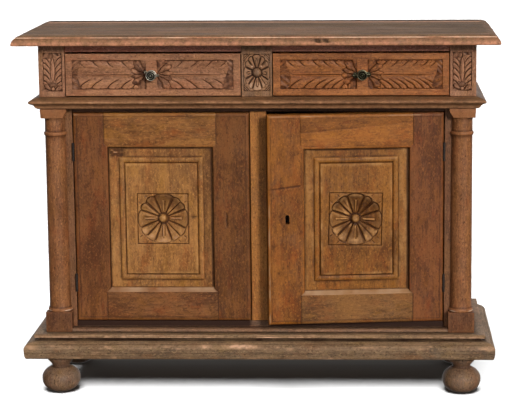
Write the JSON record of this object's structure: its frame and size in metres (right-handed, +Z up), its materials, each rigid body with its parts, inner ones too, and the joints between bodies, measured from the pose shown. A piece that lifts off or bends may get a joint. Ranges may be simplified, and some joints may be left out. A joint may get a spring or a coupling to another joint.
{
  "type": "side cabinet",
  "caption": "Walnut side cabinet with carved frieze drawers, framed doors with carved rosette panels between engaged half columns, moulded base and bun feet.",
  "frame": {"origin": "centre of the footprint's bounding box on the floor", "axes": "+X to the viewer's right along the cabinet's width, -Y out of the front, +Z up"},
  "size_m": [1.48, 0.53, 1.134],
  "materials": {
    "walnut": "waxed, worn",
    "walnut_panel": "waxed, worn",
    "walnut_top": "waxed, worn",
    "walnut_worn": "worn",
    "inner_wood": "bare",
    "iron": "dark, oxidised",
    "bronze": "patinated bronze"
  },
  "bodies": {
    "carcass": {"back_panel": "inner_wood", "base_front": "walnut_worn", "base_left": "walnut_worn", "base_right": "walnut_worn", "bottom_board": "inner_wood", "center_stile": "walnut", "column_left": "walnut", "column_right": "walnut", "drawer_divider": "inner_wood", "dust_board": "inner_wood", "foot_back_left": "walnut", "foot_back_right": "walnut", "foot_front_left": "walnut", "foot_front_right": "walnut", "frieze_block_center": "iron", "frieze_block_left": "iron", "frieze_block_right": "iron", "frieze_rail": "walnut", "front_stile_left": "walnut", "front_stile_right": "walnut", "head_rail": "walnut", "hinge_frame_leaf_lower_left": "iron", "hinge_frame_leaf_lower_right": "iron", "hinge_frame_leaf_upper_left": "iron", "hinge_frame_leaf_upper_right": "iron", "side_panel_left": "walnut", "side_panel_right": "walnut", "sill_moulding": "walnut_worn", "top_board": "walnut_top", "waist_front": "walnut", "waist_left": "walnut", "waist_right": "walnut"},
    "drawer_left": {"drawer_left_back": "inner_wood", "drawer_left_bottom": "inner_wood", "drawer_left_front": "walnut", "drawer_left_knob": "bronze", "drawer_left_side_inner": "inner_wood", "drawer_left_side_outer": "inner_wood"},
    "drawer_right": {"drawer_right_back": "inner_wood", "drawer_right_bottom": "inner_wood", "drawer_right_front": "walnut", "drawer_right_knob": "bronze", "drawer_right_side_inner": "inner_wood", "drawer_right_side_outer": "inner_wood"},
    "door_left": {"door_left_bottom_rail": "walnut", "door_left_hinge_leaf_lower": "iron", "door_left_hinge_leaf_upper": "iron", "door_left_hinge_stile": "walnut", "door_left_meeting_stile": "walnut", "door_left_panel": "walnut_panel", "door_left_top_rail": "walnut"},
    "door_right": {"door_right_bottom_rail": "walnut", "door_right_hinge_leaf_lower": "iron", "door_right_hinge_leaf_upper": "iron", "door_right_hinge_stile": "walnut", "door_right_lock_case": "iron", "door_right_meeting_stile": "walnut", "door_right_panel": "walnut_panel", "door_right_top_rail": "walnut"},
    "lock_bolt": {"door_right_lock_bolt": "iron"}
  },
  "joints": [
    {"name": "drawer_left_slide", "type": "slide", "parent": "carcass", "child": "drawer_left", "axis": [0, -1, 0], "range_m": [0, 0.3]},
    {"name": "drawer_right_slide", "type": "slide", "parent": "carcass", "child": "drawer_right", "axis": [0, -1, 0], "range_m": [0, 0.3]},
    {"name": "door_left_hinge", "type": "hinge", "parent": "carcass", "child": "door_left", "pos_m": [-0.57425, -0.1655, 0.55], "axis": [0, 0, -1], "range_deg": [0, 95]},
    {"name": "door_right_hinge", "type": "hinge", "parent": "carcass", "child": "door_right", "pos_m": [0.57425, -0.1655, 0.55], "axis": [0, 0, 1], "range_deg": [-6, 89]},
    {"name": "lock_bolt_slide", "type": "slide", "parent": "door_right", "child": "lock_bolt", "axis": [-0.9945, -0.1045, 0], "range_m": [0, 0.012]}
  ]
}
